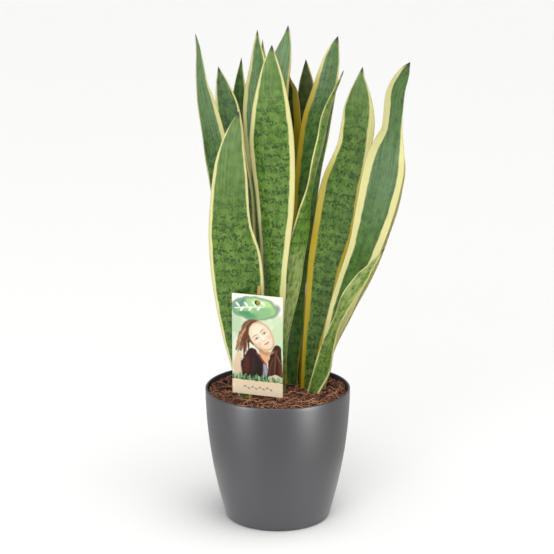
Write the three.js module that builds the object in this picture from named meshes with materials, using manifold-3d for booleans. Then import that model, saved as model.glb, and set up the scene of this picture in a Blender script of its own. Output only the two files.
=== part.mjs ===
// A potted snake plant: sixteen sword-shaped leaves in five shoots, growing out of coir potting
// soil in a round tapered plastic pot, with a printed care card on a wooden stick.
// Millimetres, +Z up. The origin is the middle of the pot's underside, and -Y is the plant's front.

import * as THREE from "three";
import { mergeVertices } from "three/addons/utils/BufferGeometryUtils.js";
import Module from "manifold-3d";

const wasm = await Module();
wasm.setup();

// ---- driving dimensions ----
const POT_HEIGHT = 170;
const POT_RIM_RADIUS = 91.5;
const POT_BASE_RADIUS = 66;
const POT_BELLY = 6.2; // how far the wall bows out of the straight taper, halfway up
const POT_WALL = 2.6;
const POT_FLOOR = 4;
const POT_FOOT_ROUND = 4; // radius of the turn from the wall to the underside
const POT_SEGMENTS = 40;
const POT_WALL_STEPS = 7;
const POT_FOOT_STEPS = 3;
const POT_LIP_STEPS = 4;

const SOIL_DEPTH_BELOW_RIM = 11;
const SOIL_CROWN = 3; // how far the soil heaps up in the middle
const SOIL_CLEARANCE = 0.4; // between the soil and what it holds
const SOIL_SIDE_STEPS = 5;
const SOIL_CROWN_STEPS = 5;

const TALLEST_LEAF = 460; // from the soil's edge to the highest tip
const LEAF_FOOT_DEPTH = 25; // how far the leaves reach into the soil
const LEAF_RINGS = 15;
const LEAF_SPANS = 6; // flats across one face of a leaf
const LEAF_FOOT_THICKNESS = 4.2;
const LEAF_TIP_THICKNESS = 1.1;
const LEAF_EDGE_THICKNESS = 0.8;
const LEAF_THINNING = 0.7; // below 1, a leaf thins faster near its foot than near its tip
const LEAF_FOOT_CHANNEL = 62; // degrees from the midrib to the edge round the gutter, at the foot
const LEAF_BLADE_CHANNEL = 24; // the same where the blade is open
const LEAF_CHANNEL_LENGTH = 150; // height over which the gutter opens out

const RHIZOME_RADIUS = 9;
const RHIZOME_DEPTH = 16;
const RHIZOME_ROUND = 3;
const RHIZOME_GAP = 0.4; // between the rhizomes and the leaves' feet
const RHIZOME_END_STEPS = 5;

const CARD_WIDTH = 65;
const CARD_HEIGHT = 132;
const CARD_THICKNESS = 0.6;
const CARD_HOLE_RADIUS = 3.5;
const CARD_HOLE_DROP = 10; // from the card's top edge down to the middle of the hole
const CARD_HOLE_STEPS = 12;
const CARD_PLACE = [-25, -42]; // the card's middle in plan
const CARD_LIFT = 11; // from the soil's edge up to the card's bottom edge
const CARD_TURN = -16; // degrees about the upright, its face a little to the left
const CARD_LEAN = 4.5; // degrees, top edge forward
const CARD_TILT = 1.4; // degrees in its own plane, top edge to the right

const STICK_DIAMETER = 4;
const STICK_LENGTH = 195;
const STICK_POINT = 9; // length of the pointed end in the soil
const STICK_POINT_SHARE = 0.25; // the point's radius as a share of the stick's
const STICK_TOP_SHARE = 0.7; // the blunt top's radius as a share of the stick's
const STICK_TOP_TAPER = 1;
const STICK_SIDES = 12;
const STICK_TILT = 4.5; // degrees across the card, top end to the right
const STICK_RISE = 11; // how far the stick stands above the card's top edge
const STICK_CLEARANCE = 0.3; // between the stick and the back of the card

const SOIL_TOP = POT_HEIGHT - SOIL_DEPTH_BELOW_RIM;
const FOOT = -LEAF_FOOT_DEPTH;
const CLUMP_RIM_RADIUS = 91.5; // rim radius of the pot that the clump below just fills
const SPREAD = POT_RIM_RADIUS / CLUMP_RIM_RADIUS; // a wider pot holds a wider clump

// Each leaf is a list of cross-sections from its foot to its tip:
// [height over the soil's edge, x, y, width, facing]. Facing is the way the gutter opens,
// in degrees: 0 is the front (-Y), 90 is +X and 180 is the back.
const LEAVES = {
  leaf_far_left: [
    [FOOT, -45, 5, 14, 70], [41, -44, 4, 22, 50], [137, -50, 2, 30, 24], [258, -65, -5, 33, 16],
    [344, -80, -12, 32, 40], [377, -87, -14, 28, 45], [396, -91, -16, 20, 51], [438, -95, -19, 10, 60],
    [458, -98, -20, 0, 60],
  ],
  leaf_front_left: [
    [FOOT, -41, -13, 15, 180], [12, -41, -13, 19, 180], [77, -44, -20, 46, 178], [144, -48, -28, 62, 176],
    [186, -52, -32, 63, 174], [228, -58, -36, 52, 172], [296, -57, -45, 40, 172], [329, -54, -50, 27, 172],
    [351, -50, -54, 15, 172], [371, -46, -58, 0, 172],
  ],
  leaf_left_inner: [
    [FOOT, -34, 13, 14, -20], [132, -40, 14, 33, -22], [247, -49, 17, 43, -24], [309, -57, 20, 40, -24],
    [360, -62, 24, 32, -24], [388, -68, 28, 19, -22], [412, -73, 30, 0, -20],
  ],
  leaf_left_back: [
    [FOOT, -24, 34, 14, 10], [127, -28, 42, 33, 30], [242, -35, 50, 42, 34], [317, -43, 56, 39, 36],
    [360, -47, 60, 26, 38], [391, -47, 63, 14, 38], [419, -45, 66, 0, 38],
  ],
  leaf_centre_back_left: [
    [FOOT, -17, 18, 14, -10], [61, -16, 21, 24, 0], [196, -16, 26, 37, 10], [288, -17, 30, 43, 12],
    [337, -21, 33, 44, 12], [376, -23, 36, 38, 12], [413, -24, 39, 21, 12], [436, -25, 41, 10, 12],
    [456, -25, 42, 0, 12],
  ],
  leaf_back_slip: [
    [FOOT, -8, 39, 13, 0], [178, -12, 60, 28, -30], [292, -16, 70, 34, -34], [354, -18, 74, 29, -36],
    [401, -19, 76, 15, -36], [440, -19, 78, 0, -36],
  ],
  leaf_centre_front: [
    [FOOT, -7, -8, 15, 180], [31, -6, -8, 19, 176], [87, -6, -10, 27, 160], [138, -5, -13, 33, 152],
    [192, -4, -16, 39, 156], [256, -3, -21, 48, 166], [324, -7, -24, 54, 176], [368, -8, -26, 45, 180],
    [395, -8, -27, 34, 180], [422, -8, -28, 19, 180], [446, -7, -30, 0, 180],
  ],
  leaf_centre_back: [
    [FOOT, -3, 21, 13, 0], [41, -5, 29, 18, 0], [131, -3, 36, 26, -8], [246, -2, 43, 33, -14],
    [333, -6, 48, 36, -16], [388, -2, 50, 33, -18], [418, 5, 52, 25, -18], [445, 11, 54, 10, -18],
    [460, 13, 55, 0, -18],
  ],
  leaf_centre_shaded: [
    [FOOT, 11, 38, 13, -10], [127, 12, 49, 26, -28], [242, 13, 58, 34, -32], [317, 13, 62, 39, -32],
    [375, 14, 65, 26, -32], [390, 12, 66, 13, -32], [403, 12, 67, 0, -32],
  ],
  leaf_back_dark: [
    [FOOT, 24, 47, 13, -15], [112, 25, 57, 24, -36], [216, 30, 66, 34, -40], [304, 36, 72, 39, -40],
    [356, 37, 76, 34, -40], [389, 36, 78, 20, -40], [415, 35, 80, 0, -40],
  ],
  leaf_centre_right: [
    [FOOT, 18, 27, 13, 0], [31, 17, 26, 19, 0], [81, 20, 24, 25, -4], [133, 22, 22, 26, -10],
    [208, 30, 22, 30, -20], [283, 38, 26, 35, -26], [346, 48, 30, 39, -26], [382, 57, 33, 32, -26],
    [417, 65, 35, 23, -24], [437, 70, 36, 11, -24], [449, 74, 37, 0, -24],
  ],
  leaf_twisted: [
    [FOOT, 2, 5, 13, 170], [41, 1, 2, 20, 170], [84, 2, -2, 26, 175], [144, 14, -5, 29, 190],
    [214, 28, -8, 25, 215], [265, 38, -8, 23, 245], [298, 45, -5, 22, 245], [329, 53, 2, 20, 240],
    [354, 58, 7, 18, 235], [376, 65, 8, 11, 230], [399, 75, 6, 4, 230], [411, 80, 4, 0, 230],
  ],
  leaf_right_inner: [
    [FOOT, 34, 16, 12, 0], [60, 44, 14, 25, 0], [121, 53, 13, 36, 0], [171, 60, 12, 44, 0],
    [218, 70, 11, 51, 0], [269, 79, 11, 50, 0], [312, 93, 11, 42, 0], [341, 98, 10, 41, 0],
    [366, 99, 9, 35, 0], [385, 100, 8, 23, 0], [401, 101, 7, 10, 0], [415, 103, 6, 0, 0],
  ],
  leaf_right_outer: [
    [FOOT, 50, 19, 12, 0], [17, 56, 10, 14, 0], [60, 63, 6, 17, 0], [120, 82, 2, 31, 0],
    [190, 107, -4, 40, 0], [241, 120, -8, 48, 0], [287, 129, -9, 50, 0], [308, 132, -9, 46, 4],
    [327, 136, -8, 38, 20], [341, 139, -7, 34, 36], [358, 140, -6, 33, 42], [386, 143, -4, 30, 38],
    [410, 153, -3, 15, 20], [422, 160, -2, 0, 20],
  ],
  leaf_right_back: [
    [FOOT, 50, 36, 12, -10], [50, 65, 36, 17, -20], [113, 87, 34, 32, -28], [163, 106, 31, 42, -30],
    [226, 125, 28, 48, -30], [265, 134, 27, 48, -30], [291, 139, 28, 43, -30], [309, 139, 29, 32, -30],
    [333, 141, 30, 0, -30],
  ],
  leaf_right_small: [
    [FOOT, 42, 0, 11, 0], [-1, 44, -1, 14, 0], [30, 55, -3, 21, 0], [62, 62, -8, 19, -30],
    [99, 73, -15, 17, -58], [131, 86, -22, 20, -40], [160, 104, -28, 16, -30], [173, 113, -30, 9, -30],
    [199, 131, -34, 0, -30],
  ],
};

// The underground stem of each shoot: a stretch from one end to the other, in plan.
const RHIZOMES = {
  rhizome_left: [[-41, -10], [-38, 6]],
  rhizome_back_left: [[-22, 24], [-14, 40]],
  rhizome_centre: [[-6, -6], [-4, 10]],
  rhizome_back_right: [[18, 30], [23, 46]],
  rhizome_right: [[41, 6], [46, 30]],
};

// ---- materials ----
const material = (color, roughness) => new THREE.MeshStandardMaterial({ color, roughness, metalness: 0 });
const POT_PLASTIC = material(0x67676a, 0.5);
const COIR_SOIL = material(0x5a3726, 0.95);
const LEAF_SKIN = material(0x4f7d4a, 0.4);
const RHIZOME_SKIN = material(0xb98a4a, 0.7);
const CARD_STOCK = material(0xf2f2ee, 0.6);
const STICK_WOOD = material(0xc9a06c, 0.7);

// ---- geometry helpers ----
const radians = THREE.MathUtils.degToRad;

function toSolid(geometry) {
  const bare = geometry.clone();
  bare.deleteAttribute("normal");
  bare.deleteAttribute("uv");
  const merged = mergeVertices(bare, 1e-4);
  return new wasm.Manifold(
    new wasm.Mesh({
      numProp: 3,
      vertProperties: new Float32Array(merged.attributes.position.array),
      triVerts: new Uint32Array(merged.index.array),
    }),
  );
}

function toGeometry(solid) {
  const mesh = solid.getMesh();
  const geometry = new THREE.BufferGeometry();
  geometry.setAttribute("position", new THREE.BufferAttribute(mesh.vertProperties, 3));
  geometry.setIndex(new THREE.BufferAttribute(mesh.triVerts, 1));
  geometry.computeVertexNormals();
  return geometry;
}

// ---- leaves ----
// The rows at their full height, from the foot in the soil to the tip over it.
const tableTip = Math.max(...Object.values(LEAVES).map((rows) => rows[rows.length - 1][0]));

function grownRows(rows) {
  return rows.map(([height, ...rest]) => [height > 0 ? (height * TALLEST_LEAF) / tableTip : height, ...rest]);
}

// The cross-section at a height: a smooth curve through the rows, with slopes from the rows either side.
function crossSection(rows, z) {
  let i = 0;
  while (i < rows.length - 2 && z > rows[i + 1][0]) i += 1;
  const slope = (k, c) => {
    const before = rows[Math.max(k - 1, 0)];
    const after = rows[Math.min(k + 1, rows.length - 1)];
    return (after[c] - before[c]) / (after[0] - before[0]);
  };
  const step = rows[i + 1][0] - rows[i][0];
  const t = (z - rows[i][0]) / step;
  const value = (c) =>
    (1 + 2 * t) * (1 - t) ** 2 * rows[i][c] + t * (1 - t) ** 2 * step * slope(i, c) +
    t * t * (3 - 2 * t) * rows[i + 1][c] + t * t * (t - 1) * step * slope(i + 1, c);
  return { middle: new THREE.Vector3(value(1), value(2), z), width: Math.max(value(3), 0), facing: value(4) };
}

// One ring of points round the leaf at a height: across the gutter's face, then back across its rear.
function leafRing(rows, z, grow) {
  const tip = rows[rows.length - 1][0];
  const { middle, width, facing } = crossSection(rows, z);
  const above = crossSection(rows, Math.min(z + 1, tip)).middle;
  const below = crossSection(rows, Math.max(z - 1, rows[0][0])).middle;
  const along = above.sub(below).normalize();
  const across = new THREE.Vector3(Math.cos(radians(facing)), Math.sin(radians(facing)), 0);
  across.addScaledVector(along, -across.dot(along)).normalize();
  const front = across.clone().cross(along);
  const share = (z - rows[0][0]) / (tip - rows[0][0]);
  const opening = Math.min((z - rows[0][0]) / LEAF_CHANNEL_LENGTH, 1);
  const channel = radians(THREE.MathUtils.lerp(LEAF_FOOT_CHANNEL, LEAF_BLADE_CHANNEL, opening));
  const radius = width / 2 / Math.sin(channel);
  const thick = THREE.MathUtils.lerp(LEAF_FOOT_THICKNESS, LEAF_TIP_THICKNESS, share ** LEAF_THINNING);
  const points = [];
  for (const side of [1, -1]) {
    for (let k = 0; k <= LEAF_SPANS; k += 1) {
      const u = side * (-1 + (2 * k) / LEAF_SPANS);
      const reach = radius * Math.sin(u * channel) + Math.sign(u) * grow;
      const sag = radius * (Math.cos(channel) - Math.cos(u * channel));
      const half = Math.max(thick * Math.sqrt(1 - u * u), LEAF_EDGE_THICKNESS) / 2 + grow;
      points.push(
        middle.clone()
          .addScaledVector(across, reach - side * half * Math.sin(u * channel))
          .addScaledVector(front, sag + side * half * Math.cos(u * channel)),
      );
    }
  }
  return points;
}

// A closed skin over rings of points, ending in one point at the tip.
function leafGeometry(tableRows, grow = 0) {
  const rows = grownRows(tableRows);
  const foot = rows[0][0] - grow;
  const tip = rows[rows.length - 1];
  const rings = [];
  for (let k = 0; k < LEAF_RINGS; k += 1) {
    const share = Math.sin((k / LEAF_RINGS) * (Math.PI / 2)); // rings crowd towards the tip
    const ring = leafRing(rows, rows[0][0] + (tip[0] - rows[0][0]) * share, grow);
    rings.push(ring);
  }
  rings[0].forEach((p) => { p.z = foot; });
  const count = rings[0].length;
  const positions = rings.flat().flatMap((p) => p.toArray());
  const tipPoint = positions.length / 3;
  positions.push(tip[1], tip[2], tip[0] + grow);
  const index = [];
  for (let r = 0; r < rings.length - 1; r += 1) {
    for (let k = 0; k < count; k += 1) {
      const a = r * count + k;
      const b = r * count + ((k + 1) % count);
      index.push(a, b, b + count, a, b + count, a + count);
    }
  }
  for (let k = 0; k < LEAF_SPANS; k += 1) {
    const rear = count - 1 - k;
    index.push(k, rear, k + 1, k + 1, rear, rear - 1);
  }
  const last = (rings.length - 1) * count;
  for (let k = 0; k < count; k += 1) index.push(tipPoint, last + k, last + ((k + 1) % count));
  const geometry = new THREE.BufferGeometry();
  geometry.setAttribute("position", new THREE.Float32BufferAttribute(positions, 3));
  geometry.setIndex(index);
  geometry.scale(SPREAD, SPREAD, 1).translate(0, 0, SOIL_TOP);
  geometry.computeVertexNormals();
  return geometry;
}

// ---- pot ----
// The wall's outer radius at a height: a straight taper with a gentle belly.
function potRadius(z) {
  const share = z / POT_HEIGHT;
  return THREE.MathUtils.lerp(POT_BASE_RADIUS, POT_RIM_RADIUS, share) + 4 * POT_BELLY * share * (1 - share);
}

// Points of a quarter turn about a centre, in radius and height.
function turn(centreRadius, centreHeight, radius, from, to, steps) {
  return Array.from({ length: steps + 1 }, (_, k) => {
    const angle = radians(from + ((to - from) * k) / steps);
    const [across, up] = [Math.cos(angle), Math.sin(angle)];
    return new THREE.Vector2(centreRadius + radius * across, centreHeight + radius * up);
  });
}

function potGeometry() {
  const outside = [];
  const inside = [];
  const lipRound = POT_WALL / 2;
  const lowest = POT_FOOT_ROUND;
  const highest = POT_HEIGHT - lipRound;
  for (let k = 1; k < POT_WALL_STEPS; k += 1) {
    const z = lowest + ((highest - lowest) * k) / POT_WALL_STEPS;
    outside.push(new THREE.Vector2(potRadius(z), z));
    if (z > POT_FLOOR + POT_FOOT_ROUND) inside.unshift(new THREE.Vector2(potRadius(z) - POT_WALL, z));
  }
  const footCentre = potRadius(POT_FOOT_ROUND) - POT_FOOT_ROUND;
  const lipCentre = potRadius(highest) - lipRound;
  const innerFoot = potRadius(POT_FLOOR + POT_FOOT_ROUND) - POT_WALL - POT_FOOT_ROUND;
  const profile = [
    new THREE.Vector2(0, 0),
    ...turn(footCentre, POT_FOOT_ROUND, POT_FOOT_ROUND, -90, 0, POT_FOOT_STEPS),
    ...outside,
    ...turn(lipCentre, highest, lipRound, 0, 180, POT_LIP_STEPS),
    ...inside,
    ...turn(innerFoot, POT_FLOOR + POT_FOOT_ROUND, POT_FOOT_ROUND, 0, -90, POT_FOOT_STEPS),
    new THREE.Vector2(0, POT_FLOOR),
  ];
  return new THREE.LatheGeometry(profile, POT_SEGMENTS).rotateX(Math.PI / 2);
}

// ---- rhizomes ----
function rhizomeGeometry(tableEnds, grow = 0) {
  const [from, to] = tableEnds.map(([x, y]) => [x * SPREAD, y * SPREAD]);
  const radius = RHIZOME_RADIUS - RHIZOME_ROUND;
  const length = Math.hypot(to[0] - from[0], to[1] - from[1]);
  const outline = new THREE.Shape();
  outline.absarc(length, 0, radius, -Math.PI / 2, Math.PI / 2);
  outline.absarc(0, 0, radius, Math.PI / 2, (3 * Math.PI) / 2);
  const geometry = new THREE.ExtrudeGeometry(outline, {
    depth: RHIZOME_DEPTH - 2 * RHIZOME_ROUND,
    curveSegments: RHIZOME_END_STEPS,
    bevelSegments: 1,
    bevelSize: RHIZOME_ROUND + grow,
    bevelThickness: RHIZOME_ROUND + grow,
  });
  const top = SOIL_TOP - LEAF_FOOT_DEPTH - RHIZOME_GAP - RHIZOME_ROUND;
  geometry.rotateZ(Math.atan2(to[1] - from[1], to[0] - from[0]));
  return geometry.translate(from[0], from[1], top - (RHIZOME_DEPTH - 2 * RHIZOME_ROUND));
}

// ---- card and stick ----
function cardGeometry() {
  const outline = new THREE.Shape();
  outline.moveTo(-CARD_WIDTH / 2, -CARD_HEIGHT / 2);
  outline.lineTo(CARD_WIDTH / 2, -CARD_HEIGHT / 2);
  outline.lineTo(CARD_WIDTH / 2, CARD_HEIGHT / 2);
  outline.lineTo(-CARD_WIDTH / 2, CARD_HEIGHT / 2);
  const hole = new THREE.Path();
  hole.absarc(0, CARD_HEIGHT / 2 - CARD_HOLE_DROP, CARD_HOLE_RADIUS, 0, 2 * Math.PI, true);
  outline.holes.push(hole);
  const settings = { depth: CARD_THICKNESS, bevelEnabled: false, curveSegments: CARD_HOLE_STEPS };
  return new THREE.ExtrudeGeometry(outline, settings)
    .translate(0, 0, -CARD_THICKNESS / 2)
    .rotateX(Math.PI / 2);
}

// The stick stands behind the card, crossing the hole, with its blunt end up and its point down.
function stickGeometry(grow = 0) {
  const radius = STICK_DIAMETER / 2 + grow;
  const profile = [
    new THREE.Vector2(0, -STICK_LENGTH - grow),
    new THREE.Vector2(radius * STICK_POINT_SHARE, -STICK_LENGTH - grow),
    new THREE.Vector2(radius, -STICK_LENGTH + STICK_POINT),
    new THREE.Vector2(radius, -STICK_TOP_TAPER),
    new THREE.Vector2(radius * STICK_TOP_SHARE, grow),
    new THREE.Vector2(0, grow),
  ];
  const tilt = radians(STICK_TILT);
  const topShift = (CARD_HOLE_DROP + STICK_RISE) * Math.tan(tilt);
  const behindCard = (CARD_THICKNESS + STICK_DIAMETER) / 2 + STICK_CLEARANCE;
  return new THREE.LatheGeometry(profile, STICK_SIDES)
    .rotateX(Math.PI / 2)
    .rotateY(tilt)
    .translate(topShift, behindCard, CARD_HEIGHT / 2 + STICK_RISE);
}

const cardHolder = new THREE.Group();
const [cardX, cardY] = CARD_PLACE;
cardHolder.position.set(cardX * SPREAD, cardY * SPREAD, SOIL_TOP + CARD_LIFT + CARD_HEIGHT / 2);
cardHolder.rotation.set(radians(CARD_LEAN), radians(CARD_TILT), radians(CARD_TURN), "ZXY");
cardHolder.updateMatrixWorld(true);

// ---- soil ----
// The soil fills the pot to a little below the rim, with a slot round everything that stands in it.
function soilGeometry() {
  const gap = POT_WALL + SOIL_CLEARANCE;
  const lowest = POT_FLOOR + POT_FOOT_ROUND;
  const side = Array.from({ length: SOIL_SIDE_STEPS + 1 }, (_, k) => {
    const z = lowest + ((SOIL_TOP - lowest) * k) / SOIL_SIDE_STEPS;
    return new THREE.Vector2(potRadius(z) - gap, z);
  });
  const crown = Array.from({ length: SOIL_CROWN_STEPS }, (_, k) => {
    const share = (k + 1) / SOIL_CROWN_STEPS;
    const radius = (potRadius(SOIL_TOP) - gap) * (1 - share);
    return new THREE.Vector2(radius, SOIL_TOP + SOIL_CROWN * Math.sin((share * Math.PI) / 2));
  });
  const profile = [
    new THREE.Vector2(0, POT_FLOOR + SOIL_CLEARANCE),
    new THREE.Vector2(side[0].x - POT_FOOT_ROUND, POT_FLOOR + SOIL_CLEARANCE),
    ...side,
    ...crown,
  ];
  let soil = toSolid(new THREE.LatheGeometry(profile, POT_SEGMENTS).rotateX(Math.PI / 2));
  const held = [
    ...Object.values(LEAVES).map((rows) => leafGeometry(rows, SOIL_CLEARANCE)),
    ...Object.values(RHIZOMES).map((ends) => rhizomeGeometry(ends, SOIL_CLEARANCE)),
    stickGeometry(SOIL_CLEARANCE).applyMatrix4(cardHolder.matrixWorld),
  ];
  held.forEach((geometry) => { soil = soil.subtract(toSolid(geometry)); });
  return toGeometry(soil);
}

// ---- the plant in its pot ----
const plant = new THREE.Group();

function addPiece(name, geometry, finish, group = plant) {
  const piece = new THREE.Mesh(geometry, finish);
  piece.name = name;
  group.add(piece);
}

addPiece("pot", potGeometry(), POT_PLASTIC);
addPiece("soil", soilGeometry(), COIR_SOIL);
Object.entries(RHIZOMES).forEach(([name, ends]) => addPiece(name, rhizomeGeometry(ends), RHIZOME_SKIN));
Object.entries(LEAVES).forEach(([name, rows]) => addPiece(name, leafGeometry(rows), LEAF_SKIN));
addPiece("label_card", cardGeometry(), CARD_STOCK, cardHolder);
addPiece("label_stick", stickGeometry(), STICK_WOOD, cardHolder);
plant.add(cardHolder);

export default plant;
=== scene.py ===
"""The looks of a potted snake plant: sixteen sword-shaped leaves with yellow margins, coir soil,
a matte grey plastic pot, and a printed care card on a bamboo stick. Drawn in millimetres, built in metres."""

import math
import random

import bpy
import numpy as np
from mathutils import Matrix, Vector, noise


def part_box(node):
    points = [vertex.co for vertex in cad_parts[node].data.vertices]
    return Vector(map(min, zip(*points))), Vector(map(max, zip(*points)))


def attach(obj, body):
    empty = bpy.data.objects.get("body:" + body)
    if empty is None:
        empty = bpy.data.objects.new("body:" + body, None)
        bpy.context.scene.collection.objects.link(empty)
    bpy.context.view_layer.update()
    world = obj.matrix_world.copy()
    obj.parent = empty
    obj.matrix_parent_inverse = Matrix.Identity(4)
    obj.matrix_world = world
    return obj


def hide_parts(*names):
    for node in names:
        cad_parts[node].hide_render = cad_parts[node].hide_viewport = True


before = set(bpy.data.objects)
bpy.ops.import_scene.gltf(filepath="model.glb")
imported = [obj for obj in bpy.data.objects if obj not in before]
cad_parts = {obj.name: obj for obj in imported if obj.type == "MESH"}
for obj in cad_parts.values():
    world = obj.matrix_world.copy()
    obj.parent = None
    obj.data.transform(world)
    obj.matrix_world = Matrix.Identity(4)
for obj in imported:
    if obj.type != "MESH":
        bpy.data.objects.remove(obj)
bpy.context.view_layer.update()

MM = 0.001
rng = np.random.default_rng(7)
random.seed(7)

# ---- sizes and places in millimetres; the pot's height and rim are read from the CAD frame ----
pot_low, pot_high = (np.array(corner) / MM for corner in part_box("pot"))
POT_HEIGHT = pot_high[2]
POT_RIM = pot_high[0]
POT_BASE = 66.0
POT_BELLY = 6.2
POT_WALL = 2.6
POT_FLOOR = 4.0
POT_ROUND = 4.0
SOIL_TOP = POT_HEIGHT - 11
SOIL_CROWN = 3.0

FOOT = -25.0  # the leaves' feet, under the soil's edge
# Each leaf's cross-sections from foot to tip: height over the soil's edge, x, y, width, and the
# way the gutter opens in degrees (0 front, 90 right, 180 back). These are the CAD part's own.
LEAVES = {
    "leaf_far_left": [
        [FOOT, -45, 5, 14, 70], [41, -44, 4, 22, 50], [137, -50, 2, 30, 24], [258, -65, -5, 33, 16],
        [344, -80, -12, 32, 40], [377, -87, -14, 28, 45], [396, -91, -16, 20, 51], [438, -95, -19, 10, 60],
        [458, -98, -20, 0, 60]],
    "leaf_front_left": [
        [FOOT, -41, -13, 15, 180], [12, -41, -13, 19, 180], [77, -44, -20, 46, 178], [144, -48, -28, 62, 176],
        [186, -52, -32, 63, 174], [228, -58, -36, 52, 172], [296, -57, -45, 40, 172],
        [329, -54, -50, 27, 172], [351, -50, -54, 15, 172], [371, -46, -58, 0, 172]],
    "leaf_left_inner": [
        [FOOT, -34, 13, 14, -20], [132, -40, 14, 33, -22], [247, -49, 17, 43, -24], [309, -57, 20, 40, -24],
        [360, -62, 24, 32, -24], [388, -68, 28, 19, -22], [412, -73, 30, 0, -20]],
    "leaf_left_back": [
        [FOOT, -24, 34, 14, 10], [127, -28, 42, 33, 30], [242, -35, 50, 42, 34], [317, -43, 56, 39, 36],
        [360, -47, 60, 26, 38], [391, -47, 63, 14, 38], [419, -45, 66, 0, 38]],
    "leaf_centre_back_left": [
        [FOOT, -17, 18, 14, -10], [61, -16, 21, 24, 0], [196, -16, 26, 37, 10], [288, -17, 30, 43, 12],
        [337, -21, 33, 44, 12], [376, -23, 36, 38, 12], [413, -24, 39, 21, 12], [436, -25, 41, 10, 12],
        [456, -25, 42, 0, 12]],
    "leaf_back_slip": [
        [FOOT, -8, 39, 13, 0], [178, -12, 60, 28, -30], [292, -16, 70, 34, -34], [354, -18, 74, 29, -36],
        [401, -19, 76, 15, -36], [440, -19, 78, 0, -36]],
    "leaf_centre_front": [
        [FOOT, -7, -8, 15, 180], [31, -6, -8, 19, 176], [87, -6, -10, 27, 160], [138, -5, -13, 33, 152],
        [192, -4, -16, 39, 156], [256, -3, -21, 48, 166], [324, -7, -24, 54, 176], [368, -8, -26, 45, 180],
        [395, -8, -27, 34, 180], [422, -8, -28, 19, 180], [446, -7, -30, 0, 180]],
    "leaf_centre_back": [
        [FOOT, -3, 21, 13, 0], [41, -5, 29, 18, 0], [131, -3, 36, 26, -8], [246, -2, 43, 33, -14],
        [333, -6, 48, 36, -16], [388, -2, 50, 33, -18], [418, 5, 52, 25, -18], [445, 11, 54, 10, -18],
        [460, 13, 55, 0, -18]],
    "leaf_centre_shaded": [
        [FOOT, 11, 38, 13, -10], [127, 12, 49, 26, -28], [242, 13, 58, 34, -32], [317, 13, 62, 39, -32],
        [375, 14, 65, 26, -32], [390, 12, 66, 13, -32], [403, 12, 67, 0, -32]],
    "leaf_back_dark": [
        [FOOT, 24, 47, 13, -15], [112, 25, 57, 24, -36], [216, 30, 66, 34, -40], [304, 36, 72, 39, -40],
        [356, 37, 76, 34, -40], [389, 36, 78, 20, -40], [415, 35, 80, 0, -40]],
    "leaf_centre_right": [
        [FOOT, 18, 27, 13, 0], [31, 17, 26, 19, 0], [81, 20, 24, 25, -4], [133, 22, 22, 26, -10],
        [208, 30, 22, 30, -20], [283, 38, 26, 35, -26], [346, 48, 30, 39, -26], [382, 57, 33, 32, -26],
        [417, 65, 35, 23, -24], [437, 70, 36, 11, -24], [449, 74, 37, 0, -24]],
    "leaf_twisted": [
        [FOOT, 2, 5, 13, 170], [41, 1, 2, 20, 170], [84, 2, -2, 26, 175], [144, 14, -5, 29, 190],
        [214, 28, -8, 25, 215], [265, 38, -8, 23, 245], [298, 45, -5, 22, 245], [329, 53, 2, 20, 240],
        [354, 58, 7, 18, 235], [376, 65, 8, 11, 230], [399, 75, 6, 4, 230], [411, 80, 4, 0, 230]],
    "leaf_right_inner": [
        [FOOT, 34, 16, 12, 0], [60, 44, 14, 25, 0], [121, 53, 13, 36, 0], [171, 60, 12, 44, 0],
        [218, 70, 11, 51, 0], [269, 79, 11, 50, 0], [312, 93, 11, 42, 0], [341, 98, 10, 41, 0],
        [366, 99, 9, 35, 0], [385, 100, 8, 23, 0], [401, 101, 7, 10, 0], [415, 103, 6, 0, 0]],
    "leaf_right_outer": [
        [FOOT, 50, 19, 12, 0], [17, 56, 10, 14, 0], [60, 63, 6, 17, 0], [120, 82, 2, 31, 0],
        [190, 107, -4, 40, 0], [241, 120, -8, 48, 0], [287, 129, -9, 50, 0], [308, 132, -9, 46, 4],
        [327, 136, -8, 38, 20], [341, 139, -7, 34, 36], [358, 140, -6, 33, 42], [386, 143, -4, 30, 38],
        [410, 153, -3, 15, 20], [422, 160, -2, 0, 20]],
    "leaf_right_back": [
        [FOOT, 50, 36, 12, -10], [50, 65, 36, 17, -20], [113, 87, 34, 32, -28], [163, 106, 31, 42, -30],
        [226, 125, 28, 48, -30], [265, 134, 27, 48, -30], [291, 139, 28, 43, -30], [309, 139, 29, 32, -30],
        [333, 141, 30, 0, -30]],
    "leaf_right_small": [
        [FOOT, 42, 0, 11, 0], [-1, 44, -1, 14, 0], [30, 55, -3, 21, 0], [62, 62, -8, 19, -30],
        [99, 73, -15, 17, -58], [131, 86, -22, 20, -40], [160, 104, -28, 16, -30], [173, 113, -30, 9, -30],
        [199, 131, -34, 0, -30]],
}
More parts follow.
